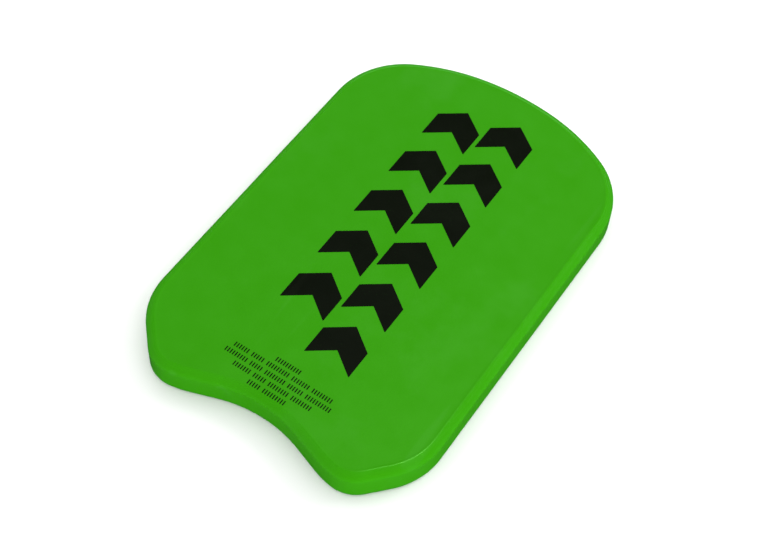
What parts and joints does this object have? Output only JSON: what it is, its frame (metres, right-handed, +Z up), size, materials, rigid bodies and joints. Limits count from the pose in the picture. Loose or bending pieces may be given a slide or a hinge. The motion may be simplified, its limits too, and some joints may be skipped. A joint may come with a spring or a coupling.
{
  "type": "kickboard float",
  "caption": "Flat foam swimming kickboard with a rounded nose, parallel sides, drawn-in tail corners, a shallow concave tail notch and printed marks on top.",
  "frame": {"origin": "bottom centre of the board's box, on the surface it lies on", "axes": "+Y along the board to its nose, +X across it to the right seen from above, +Z up through its thickness"},
  "size_m": [0.292, 0.44, 0.0302],
  "materials": {
    "foam": "satin moulded skin, bright green; closed-cell EVA foam is assumed from its look and use",
    "ink": "screen-printed ink, near black, satin"
  },
  "bodies": {
    "root": {"foam_board": "foam", "print_left_row": "ink", "print_right_row": "ink", "print_notice": "ink"}
  },
  "joints": []
}
